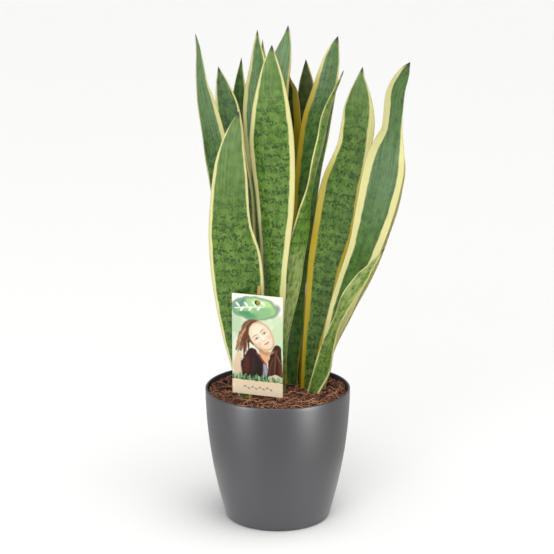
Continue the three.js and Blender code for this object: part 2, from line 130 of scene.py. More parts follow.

# Each leaf's skin. tone is one number, how light its green is. The others are one number each or stops
# along the leaf, as [height over the soil's edge, value]: wax_and_sheen the grey-green wax, laid on partly
# as a painted sheen, bands the dark cross-bands, pale the silvery mottling, gold how far the margins turn
# from cream to gold, partly painted shade, and left and right the yellow margins' widths in millimetres,
# as seen from the front. The front leaves' skin is a lighter copy, painted light, and the deep skin a
# darker copy, painted shade.
LOOKS = {
    "leaf_far_left": dict(
        skin="bloomed", tone=1.15,
        wax_and_sheen=[[150, 0.1], [250, 0.1], [320, 0.25], [350, 0.6], [430, 0.7]],
        bands=[[150, 1], [300, 1], [350, 0.6], [400, 0.1]],
        left=0.4, right=[[100, 5], [300, 6], [350, 5], [380, 4], [400, 1.5], [430, 0.6]]),
    "leaf_front_left": dict(
        skin="sunlit", tone=0.85,
        wax_and_sheen=[[235, 0], [265, 0.2], [300, 0.5], [330, 0.6], [371, 0.6]],
        bands=[[60, 1], [230, 1], [260, 0.6], [290, 0.15]],
        left=[[60, 3.5], [200, 4.5], [300, 4], [350, 3]], right=[[60, 5], [140, 4], [200, 2.6], [330, 2.2]]),
    "leaf_left_inner": dict(
        skin="bloomed", tone=0.95,
        wax_and_sheen=[[200, 0], [300, 0.1], [380, 0.35]], bands=[[200, 0.6], [380, 1]],
        left=4.5, right=[[0, 4.5], [380, 3.5]], gold=[[200, 0.5], [330, 0]]),
    "leaf_left_back": dict(
        skin="bloomed", tone=1.2, wax_and_sheen=[[250, 0.2], [400, 0.3]],
        bands=[[250, 1], [400, 0.8]], left=0.4, right=4),
    "leaf_centre_back_left": dict(
        skin="bloomed", tone=1.2,
        wax_and_sheen=[[200, 0.3], [330, 0.8], [400, 0.6], [440, 0.4]],
        bands=[[200, 0.6], [440, 0.7]],
        left=5, right=4),
    "leaf_back_slip": dict(
        skin="deep", tone=0.95, wax_and_sheen=0.1, bands=0.6,
        left=5, right=5, gold=0.7),
    "leaf_centre_front": dict(
        skin="sunlit", tone=0.92,
        wax_and_sheen=[[100, 0.1], [200, 0], [350, 0], [390, 0.25], [440, 0.6]],
        bands=[[60, 1], [330, 1], [370, 0.9], [400, 0.4], [430, 0.1]],
        left=[[0, 4], [150, 5], [300, 5.5], [400, 5]], right=[[0, 5], [150, 6.5], [300, 6.5], [400, 5]]),
    "leaf_centre_back": dict(
        skin="bloomed", tone=1.2,
        wax_and_sheen=[[380, 0], [400, 0.8], [430, 0.8], [455, 0.3]], bands=0.5,
        left=0.4, right=[[0, 5], [400, 3]], gold=[[300, 0.9], [400, 0.4], [440, 0.1]]),
    "leaf_centre_shaded": dict(
        skin="deep", tone=0.85, wax_and_sheen=0, bands=0.5,
        left=4, right=[[0, 12], [340, 14], [370, 24]], gold=[[330, 1], [400, 0.8]]),
    "leaf_back_dark": dict(
        skin="deep", tone=0.85, wax_and_sheen=0.2, bands=0.5,
        left=0.4, right=5, gold=0.9),
    "leaf_centre_right": dict(
        skin="bloomed", tone=1.05,
        wax_and_sheen=[[350, 0.1], [390, 0.5], [440, 0.4]], bands=[[330, 0.6], [380, 1], [430, 0.7]],
        left=[[0, 4], [300, 6], [420, 6]], right=[[0, 0], [370, 0], [400, 3]],
        gold=[[340, 1], [380, 0.8], [410, 0.1]]),
    "leaf_twisted": dict(
        skin="young", tone=1.05,
        wax_and_sheen=0, bands=1,
        pale=[[40, 0.3], [120, 0.9], [185, 0.7], [200, 0], [250, 0], [280, 0.25], [340, 0.35]],
        left=1.3, right=0),
    "leaf_right_inner": dict(
        skin="sunlit", tone=0.82,
        wax_and_sheen=[[320, 0], [363, 0.25], [400, 0.6]], bands=[[0, 1], [340, 1], [365, 0.6], [390, 0.1]],
        left=[[60, 5], [180, 8], [250, 8], [310, 5], [335, 4], [363, 2], [390, 1]],
        right=[[200, 4], [300, 5], [340, 9], [363, 8], [385, 5], [400, 3]],
        gold=[[200, 1], [280, 0.7], [310, 0.1]]),
    "leaf_right_outer": dict(
        skin="bloomed", tone=0.95,
        wax_and_sheen=[[60, 0], [184, 0.05], [215, 0.15], [246, 0.45], [277, 0.6],
               [308, 0.6], [339, 0.4], [400, 0.2]],
        bands=[[0, 0.4], [300, 0.4], [400, 0.3]],
        left=[[20, 5], [120, 6], [180, 7], [250, 9], [310, 11], [345, 12], [370, 20], [400, 24], [415, 22]],
        right=[[60, 6], [200, 8], [300, 7], [335, 3], [350, 0.4]]),
    "leaf_right_back": dict(
        skin="young", tone=0.9, wax_and_sheen=0.2, bands=0.4,
        left=8, right=[[60, 8], [200, 12], [320, 9]]),
    "leaf_right_small": dict(
        skin="young", tone=1.15, wax_and_sheen=0.1, bands=1,
        pale=[[10, 0.1], [60, 0.3], [100, 0.9], [190, 0.9]], left=0.8, right=1.8),
}
PLAIN_LOOK = dict(pale=0, gold=0)

BLADE_RINGS = 150
BLADE_SPANS = 24
GUTTER_FOOT, GUTTER_OPEN, GUTTER_RUN = 62, 24, 150  # half angles at the foot and from this height on
FOOT_THICKNESS, TIP_THICKNESS, EDGE_THICKNESS = 4.2, 1.1, 0.8


# ---- small helpers ----
def paint_value(code):
    """A colour as it reads on a screen (sRGB hex), turned to the linear values that light works in."""
    parts = [int(code[i:i + 2], 16) / 255 for i in (1, 3, 5)]
    return [p / 12.92 if p <= 0.04045 else ((p + 0.055) / 1.055) ** 2.4 for p in parts] + [1]


def add(tree, kind, inputs=None, **settings):
    """Adds one shader node with its settings and its inputs (links, values or hex colours)."""
    made = tree.nodes.new("ShaderNode" + kind)
    for name, value in settings.items():
        setattr(made, name, value)
    for name, value in (inputs or {}).items():
        if isinstance(value, bpy.types.NodeSocket):
            tree.links.new(value, made.inputs[name])
        else:
            made.inputs[name].default_value = paint_value(value) if isinstance(value, str) else value
    return made.outputs


def new_material(name):
    """An empty material with its node tree, ready for a surface."""
    material = bpy.data.materials.new(name)
    material.use_nodes = True
    material.node_tree.nodes.clear()
    return material, material.node_tree


def finish_surface(tree, **inputs):
    """Ends a material with one Principled surface."""
    shader = add(tree, "BsdfPrincipled", {name.replace("_", " "): value for name, value in inputs.items()})
    add(tree, "OutputMaterial", {"Surface": shader[0]})


def new_piece(name, points, faces, material, stands_for=None, slot=None, smooth=True, **attributes):
    """A mesh piece on the plant from points in millimetres, with named values at its points for its skin."""
    mesh = bpy.data.meshes.new(name)
    mesh.from_pydata((np.asarray(points, float) * MM).tolist(), [], faces)
    mesh.materials.append(material)
    mesh.polygons.foreach_set("use_smooth", [smooth] * len(mesh.polygons))
    for key, values in attributes.items():
        values = np.asarray(values, np.float32)
        if values.ndim == 1:
            mesh.attributes.new(key, "FLOAT", "POINT").data.foreach_set("value", values)
        else:
            mesh.attributes.new(key, "FLOAT_VECTOR", "POINT").data.foreach_set("vector", values.ravel())
    mesh.update()
    piece = bpy.data.objects.new(name, mesh)
    bpy.context.scene.collection.objects.link(piece)
    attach(piece, "root")
    if stands_for:
        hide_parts(stands_for)
    return piece


def strip_faces(rings, count, closed=True):
    """Faces between neighbouring rings of points, wound to face out for rings that run anticlockwise."""
    around = count if closed else count - 1
    return [
        (r * count + k, r * count + (k + 1) % count, (r + 1) * count + (k + 1) % count, (r + 1) * count + k)
        for r in range(rings - 1) for k in range(around)
    ]


def lathe(profile, segments):
    """Points and faces of (radius, height) pairs turned about the upright, closed on the axis."""
    angles = np.linspace(0, 2 * math.pi, segments, endpoint=False)
    inner = np.array(profile[1:-1], float)
    points = [
        (radius * math.cos(a), radius * math.sin(a), height)
        for radius, height in inner for a in angles
    ]
    faces = strip_faces(len(inner), segments)
    first, last = len(points), len(points) + 1
    points += [(0, 0, profile[0][1]), (0, 0, profile[-1][1])]
    top = (len(inner) - 1) * segments
    faces += [(first, (k + 1) % segments, k) for k in range(segments)]
    faces += [(last, top + k, top + (k + 1) % segments) for k in range(segments)]
    return np.array(points), faces


def smoothstep(low, high, x):
    """A soft rise from 0 at low to 1 at high."""
    t = np.clip((x - low) / (high - low), 0, 1)
    return t * t * (3 - 2 * t)


# ---- leaf skins ----
def leaf_skin(name, fresh, deep, spot, wax_sheen_colour, roughness):
    """Waxy leaf skin. The points' own values say where the margins, bands, wax with its painted sheen, and
    tip fall.
    """
    material, tree = new_material(name)
    # place is across, along and seed. edge and tip are distances in millimetres.
    place, rim, look, ripe = [add(tree, "Attribute", attribute_name=key)["Vector"]
                              for key in ("place", "rim", "look", "ripe")]
    edge, tip, margin = add(tree, "SeparateXYZ", {"Vector": rim})[0:3]
    tone, wax_and_sheen, bands = add(tree, "SeparateXYZ", {"Vector": look})[0:3]
    gold, pale = add(tree, "SeparateXYZ", {"Vector": ripe})[0:2]

    # Noise for each pattern: its size across and along the leaf in millimetres, detail, distortion.
    noises = []
    for wide, long, detail, twist in (
            (8, 11, 4, 0), (2.4, 3.2, 2, 0.6), (3.5, 9, 4, 0), (2.2, 70, 4, 0), (20, 18, 3, 0)):
        scaled = add(tree, "VectorMath", {0: place, 1: (1 / wide, 1 / long, 1)}, operation="MULTIPLY")[0]
        noises += [add(tree, "TexNoise", {"Vector": scaled, "Scale": 1.0, "Detail": detail,
                                          "Distortion": twist})["Fac"]]
    patch, speck, mottle, streak, ripple = noises

    # Patches of fresher and deeper green, about a centimetre long.
    patch = add(tree, "MapRange", {"Value": patch, 1: 0.36, 2: 0.64})[0]
    body = add(tree, "Mix", {0: patch, 6: deep, 7: fresh}, data_type="RGBA")[2]

    # Ragged dark cross-lines about 14 mm apart, broken into specks 2 to 4 mm across.
    line = add(tree, "TexWave", {"Vector": place, "Scale": 0.314 / 14, "Distortion": 7.0, "Detail": 3.0,
                                 "Detail Scale": 5.0, "Detail Roughness": 0.65}, bands_direction="Y")["Fac"]
    dark = add(tree, "Math", {0: line, 1: 0.2, 2: speck}, operation="MULTIPLY_ADD")[0]
    dark = add(tree, "MapRange", {"Value": dark, 1: 0.58, 2: 0.74, 4: 0.85},
               interpolation_type="SMOOTHSTEP")[0]
    dark = add(tree, "Math", {0: dark, 1: bands}, operation="MULTIPLY")[0]

    # Silvery mottling on young and twisted blades, where the green breaks up.
    mottle = add(tree, "MapRange", {"Value": mottle, 1: 0.36, 2: 0.56})[0]
    mottle = add(tree, "Math", {0: mottle, 1: pale}, operation="MULTIPLY")[0]

    # Grey-green wax, rubbed into lengthwise streaks about two millimetres wide. The wax is real, but its
    # strength along each leaf is set highest where the leaves catch a grey sheen, so it is partly a painted
    # sheen.
    wax_and_sheen_streaks = add(tree, "MapRange", {"Value": streak, 1: 0.3, 2: 0.7, 3: 0.45, 4: 1.0})[0]
    wax_and_sheen_streaks = add(tree, "Math", {0: wax_and_sheen_streaks, 1: wax_and_sheen}, operation="MULTIPLY")[0]
    for share, over in ((dark, spot), (mottle, "#93a05e"), (wax_and_sheen_streaks, wax_sheen_colour)):
        body = add(tree, "Mix", {0: share, 6: body, 7: over}, data_type="RGBA")[2]
    fibre = add(tree, "MapRange", {"Value": streak, 1: 0.3, 2: 0.7, 3: 0.85, 4: 1.15})[0]
    tone = add(tree, "Math", {0: tone, 1: fibre}, operation="MULTIPLY")[0]
    shade = add(tree, "CombineColor", {0: tone, 1: tone, 2: tone})[0]
    body = add(tree, "Mix", {0: 1.0, 6: body, 7: shade}, data_type="RGBA", blend_type="MULTIPLY")[2]

    # Cream to golden margins with an uneven border, faint green streaks, and a lime line along them. The gold
    # is partly the margins' own deeper yellow and partly painted shade, strongest low down and on the leaves
    # among the others.
    border = add(tree, "Math", {0: ripple, 1: 3.2, 2: -1.6}, operation="MULTIPLY_ADD")[0]
    border = add(tree, "Math", {0: border, 1: edge}, operation="ADD")[0]
    border = add(tree, "Math", {0: border, 1: margin}, operation="SUBTRACT")[0]
    yellow = add(tree, "Mix", {0: gold, 6: "#dad593", 7: "#b59e21"}, data_type="RGBA")[2]
    vein = add(tree, "MapRange", {"Value": streak, 1: 0.56, 2: 0.75, 3: 0.0, 4: 0.35})[0]
    yellow = add(tree, "Mix", {0: vein, 6: yellow, 7: "#a6ab57"}, data_type="RGBA")[2]
    on_lime = add(tree, "MapRange", {"Value": border, 1: 1.1, 2: 0.2})[0]
    on_lime = add(tree, "Math", {0: on_lime, 1: 0.45}, operation="MULTIPLY")[0]
    on_margin = add(tree, "MapRange", {"Value": border, 1: 0.3, 2: -0.3}, interpolation_type="SMOOTHSTEP")[0]

    # A hair-thin brown line on the very edge, drawn a little wide to show, and a dried dark tip.
    on_edge = add(tree, "MapRange", {"Value": edge, 1: 0.5, 2: 0.1, 3: 0.0, 4: 0.35})[0]
    on_tip = add(tree, "MapRange", {"Value": tip, 1: 10.0, 2: 4.0})[0]
    colour = body
    for share, over in ((on_lime, yellow), (on_margin, yellow), (on_edge, "#7d6c38"), (on_tip, "#3b3a2c")):
        colour = add(tree, "Mix", {0: share, 6: colour, 7: over}, data_type="RGBA")[2]

    # Fine lengthwise ribs under the wax, and shallow dimples where the bands are.
    relief = add(tree, "Math", {0: streak, 1: 0.6}, operation="MULTIPLY")[0]
    relief = add(tree, "Math", {0: speck, 1: -0.12, 2: relief}, operation="MULTIPLY_ADD")[0]
    bump = add(tree, "Bump", {"Strength": 0.35, "Distance": 0.0006, "Height": relief})[0]
    gloss = add(tree, "MapRange", {"Value": patch, 3: roughness - 0.05, 4: roughness + 0.07})[0]
    finish_surface(tree, Base_Color=colour, Roughness=gloss, IOR=1.45, Specular_IOR_Level=0.35, Normal=bump)
    return material


SKINS = {
    # Mid-green blade with dark speckled cross-bands, the look people know the plant by. It is a lighter copy
    # of the leaf skin: painted light for the three front leaves that face the light.
    "sunlit": leaf_skin("sunlit_leaf_skin", "#6e913d", "#4f7324",
                        "#214415", "#789263", 0.36),
    # Darker blade under a grey-green wax bloom, which gives it soft pale streaks.
    "bloomed": leaf_skin("bloomed_leaf_skin", "#547b2e", "#3a5c21",
                        "#182f13", "#768f6f", 0.32),
    # Deep olive green blade, the darkest of the plant: a darker copy of the leaf skin, painted shade for the
    # three leaves that stand in the shade of the others.
    "deep": leaf_skin("shade_darkened_leaf_skin", "#546420", "#384a18",
                        "#18240b", "#6d7f68", 0.4),
    # Young blade, yellower and silver-mottled.
    "young": leaf_skin("young_leaf_skin", "#658822", "#48701a",
                        "#22420c", "#82946f", 0.4),
}


# ---- leaves ----
def section(rows, z):
    """The leaf's middle, width and facing at heights z: a smooth curve through the rows."""
    heights = rows[:, 0]
    i = np.clip(np.searchsorted(heights, z, side="left") - 1, 0, len(rows) - 2)
    order = np.arange(len(rows))
    before, after = np.maximum(order - 1, 0), np.minimum(order + 1, len(rows) - 1)
    slopes = (rows[after] - rows[before]) / (heights[after] - heights[before])[:, None]
    step = (heights[i + 1] - heights[i])[:, None]
    t = (np.asarray(z)[:, None] - heights[i][:, None]) / step
    return ((1 + 2 * t) * (1 - t) ** 2 * rows[i] + t * (1 - t) ** 2 * step * slopes[i]
            + t * t * (3 - 2 * t) * rows[i + 1] + t * t * (t - 1) * step * slopes[i + 1])


def middle_line(rows, z):
    """Points along the leaf's middle at heights z."""
    place = section(rows, z)
    return np.stack([place[:, 1], place[:, 2], z], axis=1)


def stops(pairs, z):
    """A value at heights z: the same all along, or read between [height, value] stops."""
    pairs = np.array(pairs if np.ndim(pairs) else [[0, pairs]], float)
    return np.interp(z, pairs[:, 0], pairs[:, 1])


def grow_leaf(name, number):
    """One closed blade: a gutter-shaped strip that opens out, thins and ends in a point."""
    rows = np.array(LEAVES[name], float)
    looks = {**PLAIN_LOOK, **LOOKS[name]}
    foot, tip = rows[0, 0], rows[-1, 0]
    t = np.arange(BLADE_RINGS) / BLADE_RINGS
    share = 0.6 * t + 0.4 * np.sin(t * math.pi / 2)
    z = foot + (tip - foot) * share
    placed = section(rows, z)
    width, facing = np.maximum(placed[:, 3], 0), np.radians(placed[:, 4])
    run = middle_line(rows, np.minimum(z + 1, tip)) - middle_line(rows, np.maximum(z - 1, foot))
    run /= np.linalg.norm(run, axis=1)[:, None]
    across = np.stack([np.cos(facing), np.sin(facing), 0 * facing], axis=1)
    across -= run * (across * run).sum(1)[:, None]
    across /= np.linalg.norm(across, axis=1)[:, None]
    front = np.cross(across, run)
    channel = np.radians(GUTTER_FOOT + (GUTTER_OPEN - GUTTER_FOOT) * np.minimum((z - foot) / GUTTER_RUN, 1))
    radius = width / 2 / np.sin(channel)
    thick = FOOT_THICKNESS + (TIP_THICKNESS - FOOT_THICKNESS) * share ** 0.7
    edge_thick = EDGE_THICKNESS * np.minimum(1, width / 5)
    phase = rng.uniform(0, 2 * math.pi, 4)
    points, place, rim, look, ripe = [], [], [], [], []
    swapped = math.cos(facing.mean()) < 0
    margins = {side: stops(looks["left" if (side < 0) != swapped else "right"], z) for side in (-1, 1)}
    for side in (1, -1):
        for k in range(BLADE_SPANS + 1):
            u = side * (-1 + 2 * k / BLADE_SPANS)
            # The edges ripple gently in and out, over about 9 cm and 5 cm.
            wave = abs(u) ** 3 * smoothstep(0.1, 0.4, share) * (1.3 - share) * (
                0.9 * np.sin(z / 15 + phase[0] + u) + 0.5 * np.sin(z / 8.5 + phase[1] - u))
            reach = radius * np.sin(u * channel)
            sag = radius * (np.cos(channel) - np.cos(u * channel)) + wave
            half = np.maximum(thick * math.sqrt(1 - u * u), edge_thick) / 2
            half = np.minimum(half, 0.12 + width * 0.3)
            points.append(middle_line(rows, z) + across * (reach - side * half * np.sin(u * channel))[:, None]
                          + front * (sag + side * half * np.cos(u * channel))[:, None])
            half_arc = radius * channel
            place.append(np.stack([u * half_arc, z + 60, 0 * z + 17.3 * number + 5 * (side < 0)], axis=1))
            margin = margins[-1 if u < 0 else 1] if abs(u) > 1e-9 else (margins[-1] + margins[1]) / 2
            margin = margin * np.clip((tip - z) / 80, 0.1, 1)
            rim.append(np.stack([(1 - abs(u)) * half_arc, tip - z, margin], axis=1))
            wax_and_sheen, bands, gold, pale = (stops(looks[key], z) for key in ("wax_and_sheen", "bands", "gold", "pale"))
            look.append(np.stack([looks["tone"] + 0 * z, wax_and_sheen, bands], axis=1))
            ripe.append(np.stack([gold, pale, 0 * z], axis=1))
    count = 2 * (BLADE_SPANS + 1)
    stacks = [np.stack(values, axis=1).reshape(-1, 3) for values in (points, place, rim, look, ripe)]
    ends = [rows[-1, [1, 2, 0]], stacks[1][-count // 4], [0, 0, 1], stacks[3][-1], stacks[4][-1]]
    points, place, rim, look, ripe = [np.vstack([values, [end]]) for values, end in zip(stacks, ends)]
    points[:, 2] += SOIL_TOP
    faces = strip_faces(BLADE_RINGS, count)
    faces += [(k, count - 1 - k, count - 2 - k, k + 1) for k in range(BLADE_SPANS)]
    last = (BLADE_RINGS - 1) * count
    faces += [(len(points) - 1, last + k, last + (k + 1) % count) for k in range(count)]
    return new_piece(name + "_blade", points, faces, SKINS[looks["skin"]], name, "leaf_skin",
                     place=place, rim=rim, look=look, ripe=ripe)


for number, leaf in enumerate(LEAVES):
    grow_leaf(leaf, number)


# ---- pot ----
def pot_plastic():
    """Satin moulded polypropylene: soft wide highlights and a barely grained surface."""
    material, tree = new_material("dark_grey_pot_plastic")
    where = add(tree, "TexCoord")["Object"]
    grain = add(tree, "TexNoise", {"Vector": where, "Scale": 900.0, "Detail": 2.0})["Fac"]
    cloud = add(tree, "TexNoise", {"Vector": where, "Scale": 18.0, "Detail": 3.0})["Fac"]
    colour = add(tree, "Mix", {0: cloud, 6: "#3a3a3d", 7: "#3e3e41"}, data_type="RGBA")[2]
    gloss = add(tree, "MapRange", {"Value": cloud, 1: 0.3, 2: 0.7, 3: 0.4, 4: 0.46})[0]
    bump = add(tree, "Bump", {"Strength": 0.12, "Distance": 0.0002, "Height": grain})[0]
    finish_surface(tree, Base_Color=colour, Roughness=gloss, IOR=1.49, Normal=bump)
    return material


def pot_radius(z):
    share = z / POT_HEIGHT
    return POT_BASE + (POT_RIM - POT_BASE) * share + 4 * POT_BELLY * share * (1 - share)


def arc(centre, height, radius, start, end, steps):
    angles = np.radians(np.linspace(start, end, steps))
    return [(centre + radius * math.cos(a), height + radius * math.sin(a)) for a in angles]


def build_pot():
    """The tapered wall with a soft lip, a rounded foot, and a shallow recess and gate mark underneath."""
    lip = POT_WALL / 2
    top = POT_HEIGHT - lip
    wall = np.linspace(POT_ROUND, top, 40)[1:-1]
    inner_foot = POT_FLOOR + POT_ROUND
    ring = POT_BASE - 9
    profile = [(0, 1.2), (2.2, 1.2), (2.6, 0.7), (3.4, 0.7), (3.8, 1.2)]
    profile += [(ring - 0.8, 1.2), (ring, 0.9), (ring + 0.5, 0.2), (ring + 1, 0)]
    profile += arc(pot_radius(POT_ROUND) - POT_ROUND, POT_ROUND, POT_ROUND, -90, 0, 8)
    profile += [(pot_radius(z), z) for z in wall]
    profile += arc(pot_radius(top) - lip, top, lip, 0, 180, 13)
    profile += [(pot_radius(z) - POT_WALL, z) for z in wall[::-1] if z > inner_foot]
    profile += arc(pot_radius(inner_foot) - POT_WALL - POT_ROUND, inner_foot, POT_ROUND, 0, -90, 8)
    profile += [(0, POT_FLOOR)]
    points, faces = lathe(profile, 160)
    return new_piece("moulded_pot", points, faces, pot_plastic(), "pot", "pot_plastic")


moulded_pot = build_pot()


# ---- soil ----
def coir(name, dark, light, roughness):
    """Dry coconut fibre: dull red-brown bits, each its own shade."""
    material, tree = new_material(name)
    tint = add(tree, "Attribute", attribute_name="tint")["Fac"]
    where = add(tree, "TexCoord")["Object"]
    fleck = add(tree, "TexNoise", {"Vector": where, "Scale": 700.0, "Detail": 4.0})["Fac"]
    level = add(tree, "Math", {0: fleck, 1: 0.8, 2: -0.4}, operation="MULTIPLY_ADD")[0]
    level = add(tree, "Math", {0: level, 1: tint}, operation="ADD", use_clamp=True)[0]
    colour = add(tree, "Mix", {0: level, 6: dark, 7: light}, data_type="RGBA")[2]
    bump = add(tree, "Bump", {"Strength": 0.6, "Distance": 0.0008, "Height": fleck})[0]
    finish_surface(tree, Base_Color=colour, Roughness=roughness, IOR=1.45, Normal=bump)
    return material


SOIL_BANK = 5.5  # how far the loose coir is pushed up against the wall at the back
CHIP_COUNT = 2600
FIBRE_COUNT = 420


def soil_height(x, y):
    """The heaped, lumpy top of the soil at a place in plan."""
    r = math.hypot(x, y) / (pot_radius(SOIL_TOP) - POT_WALL)
    lumps = noise.fractal(Vector((x / 11, y / 11, 3.1)), 0.8, 2.1, 4)
    bank = SOIL_BANK * float(smoothstep(0.62, 1.0, r) * smoothstep(-35.0, 25.0, y))
    return SOIL_TOP + SOIL_CROWN * (1 - r * r) + bank + 1.9 * lumps - 0.6


def build_soil():
    inside = pot_radius(SOIL_TOP) - POT_WALL - 0.3
    segments, rings = 200, 60
    angles = np.linspace(0, 2 * math.pi, segments, endpoint=False)
    low = POT_FLOOR + POT_ROUND
    profile = [(0, POT_FLOOR + 0.4), (pot_radius(low) - POT_WALL - POT_ROUND - 0.4, POT_FLOOR + 0.4)]
    profile += [(pot_radius(z) - POT_WALL - 0.4, z) for z in np.linspace(low, SOIL_TOP - 4, 12)]
    side = len(profile)
    profile += [(inside * (1 - k / rings), SOIL_TOP) for k in range(rings)]
    profile += [(0, SOIL_TOP)]
    points, faces = lathe(profile, segments)
    start = (side - 1) * segments
    for i in range(start, len(points)):
        x, y, z = points[i]
        if z == SOIL_TOP:
            points[i, 2] = soil_height(x, y)
    tint = np.array([0.3 + 0.3 * noise.noise(Vector(p) / 5) for p in points])
    new_piece("coir_bed", points, faces, coir("damp_coir_bed", "#1d0d07", "#5b3623", 0.9),
              "soil", "coir_soil", tint=tint)


FEET = [tuple(section(np.array(rows, float), np.array([0.0]))[0, 1:3]) for rows in LEAVES.values()]


def scatter_place():
    """A random spot on the soil that no leaf's foot stands on."""
    inside = pot_radius(SOIL_TOP) - POT_WALL - 3.5
    while True:
        angle, r = random.uniform(0, 2 * math.pi), inside * math.sqrt(random.random())
        x, y = r * math.cos(angle), r * math.sin(angle)
        if all(math.hypot(x - fx, (y - fy) * 1.4) > 6.5 for fx, fy in FEET):
            return x, y


def build_chips():
    """Loose chips, 2 to 8 mm long, lying every way on the bed."""
    points, faces, tints = [], [], []
    corners = np.array([[x, y, z] for x in (-1, 1) for y in (-1, 1) for z in (-1, 1)], float)
    sides = [(0, 1, 3, 2), (4, 6, 7, 5), (0, 4, 5, 1), (2, 3, 7, 6), (0, 2, 6, 4), (1, 5, 7, 3)]
    for _ in range(CHIP_COUNT):
        x, y = scatter_place()
        size = np.array([random.uniform(1.2, 4.2), random.uniform(0.7, 1.9), random.uniform(0.3, 0.9)])
        shape = corners * size * rng.uniform(0.65, 1.15, corners.shape)
        turn = Matrix.Rotation(random.uniform(0, 6.28), 3, "Z")
        turn = turn @ Matrix.Rotation(random.gauss(0, 0.45), 3, "X")
        turn = turn @ Matrix.Rotation(random.gauss(0, 0.35), 3, "Y")
        base = len(points)
        lift = soil_height(x, y) + random.uniform(-0.2, 1.0)
        points += [tuple(turn @ Vector(p) + Vector((x, y, lift))) for p in shape]
        faces += [tuple(base + i for i in face) for face in sides]
        tints += [random.betavariate(1.1, 1.8)] * 8
    new_piece("coir_chips", points, faces, coir("dry_coir_chips", "#200d07", "#945a3c", 0.85),
              slot="coir_soil", smooth=False, tint=tints)


def build_fibres():
    """Thin curled fibres, 10 to 40 mm long, lying over the chips."""
    points, faces, tints = [], [], []
    around, along = 5, 9
    for _ in range(FIBRE_COUNT):
        x, y = scatter_place()
        heading, bend = random.uniform(0, 6.28), random.gauss(0, 0.12)
        step, radius = random.uniform(1.0, 3.6), random.uniform(0.16, 0.42)
        base, tint = len(points), random.betavariate(2, 1.5)
        arch = random.uniform(0.2, 2.4)
        for j in range(along):
            reach = pot_radius(SOIL_TOP) - POT_WALL - 2
            away = math.hypot(x, y)
            if away > reach:
                x, y = x * reach / away, y * reach / away
            z = soil_height(x, y) + 0.9 + arch * math.sin(math.pi * j / (along - 1))
            thin = radius * (0.35 + 0.65 * math.sin(math.pi * (j + 0.6) / (along + 0.2)))
            for k in range(around):
                a = 2 * math.pi * k / around
                sidewise = thin * math.cos(a)
                points.append((x - sidewise * math.sin(heading), y + sidewise * math.cos(heading),
                               z + thin * math.sin(a)))
            x, y = x + step * math.cos(heading), y + step * math.sin(heading)
            heading += bend + random.gauss(0, 0.14)
        faces += [tuple(base + i for i in face) for face in strip_faces(along, around)]
        faces.append(tuple(base + k for k in reversed(range(around))))
        faces.append(tuple(base + (along - 1) * around + k for k in range(around)))
        tints += [tint] * (along * around)
    new_piece("coir_fibres", points, faces, coir("orange_coir_fibres", "#7a4228", "#e6b088", 0.8),
              slot="coir_soil", tint=tints)


build_soil()
build_chips()
build_fibres()


# ---- rhizomes, hidden in the soil, keep their CAD shapes ----
def root_skin():
    """Smooth tan root skin with faint rings, as on a rhizome washed clean."""
    material, tree = new_material("rhizome_root_skin")
    where = add(tree, "TexCoord")["Object"]
    rings = add(tree, "TexNoise", {"Vector": where, "Scale": 160.0, "Detail": 4.0})["Fac"]
    colour = add(tree, "Mix", {0: rings, 6: "#8f6230", 7: "#cda266"}, data_type="RGBA")[2]
    bump = add(tree, "Bump", {"Strength": 0.3, "Distance": 0.001, "Height": rings})[0]
    finish_surface(tree, Base_Color=colour, Roughness=0.6, IOR=1.45, Normal=bump)
    return material


ROOT_SKIN = root_skin()
for name, cad_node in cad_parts.items():
    if name.startswith("rhizome"):
        cad_node.data.materials.clear()
        cad_node.data.materials.append(ROOT_SKIN)

# ---- card and stick ----
CARD_WIDTH, CARD_HEIGHT, CARD_THICKNESS = 65.0, 132.0, 0.6
HOLE_RADIUS, HOLE_DROP = 3.5, 10.0
STICK_LENGTH, STICK_RADIUS, STICK_RISE, STICK_TILT = 195.0, 2.0, 11.0, math.radians(4.5)
CARD_FRAME = (Matrix.Translation((-25, -42, SOIL_TOP + 11 + CARD_HEIGHT / 2))
              @ Matrix.Rotation(math.radians(-16), 4, "Z") @ Matrix.Rotation(math.radians(4.5), 4, "X")
              @ Matrix.Rotation(math.radians(1.4), 4, "Y"))


class Picture:
    """The print on the card, painted in layers over a grid. x runs right and y down, in millimetres."""

    def __init__(self, x, y, ground):
        self.x, self.y = x, y
        self.colour = np.tile(np.array(paint_value(ground)[:3]), (len(x), 1))

    def blot(self, size, seed):
        """Slow watercolour unevenness from -1 to 1, with patches of about that size."""
        waves = np.random.default_rng(seed)
        total = 0
        for _ in range(7):
            heading = waves.uniform(0, 2 * math.pi)
            pitch = waves.uniform(0.6, 1.6) * 2 * math.pi / size
            start = waves.uniform(0, 6.28)
            total = total + np.sin((self.x * math.cos(heading) + self.y * math.sin(heading)) * pitch + start)
        return total / 4

    def ellipse(self, cx, cy, rx, ry, turn=0.0):
        """Distance in millimetres from an ellipse's outline, negative inside."""
        c, s = math.cos(math.radians(turn)), math.sin(math.radians(turn))
        dx, dy = self.x - cx, self.y - cy
        across, down = (dx * c + dy * s) / rx, (dy * c - dx * s) / ry
        return (np.hypot(across, down) - 1) * min(rx, ry)

    def stroke(self, points):
        """Distance from a line of (x, y, half width) points, negative inside."""
        best = np.full(len(self.x), 1e9)
        for (x0, y0, r0), (x1, y1, r1) in zip(points, points[1:]):
            dx, dy = x1 - x0, y1 - y0
            t = np.clip(((self.x - x0) * dx + (self.y - y0) * dy) / (dx * dx + dy * dy), 0, 1)
            gap = np.hypot(self.x - x0 - t * dx, self.y - y0 - t * dy)
            best = np.minimum(best, gap - (r0 + (r1 - r0) * t))
        return best

    def lay(self, distance, code, soft=0.7, strength=1.0):
        """Lays a colour wherever the distance is negative, with a soft border."""
        cover = (strength * smoothstep(soft / 2, -soft / 2, distance))[:, None]
        self.colour = self.colour * (1 - cover) + np.array(paint_value(code)[:3]) * cover


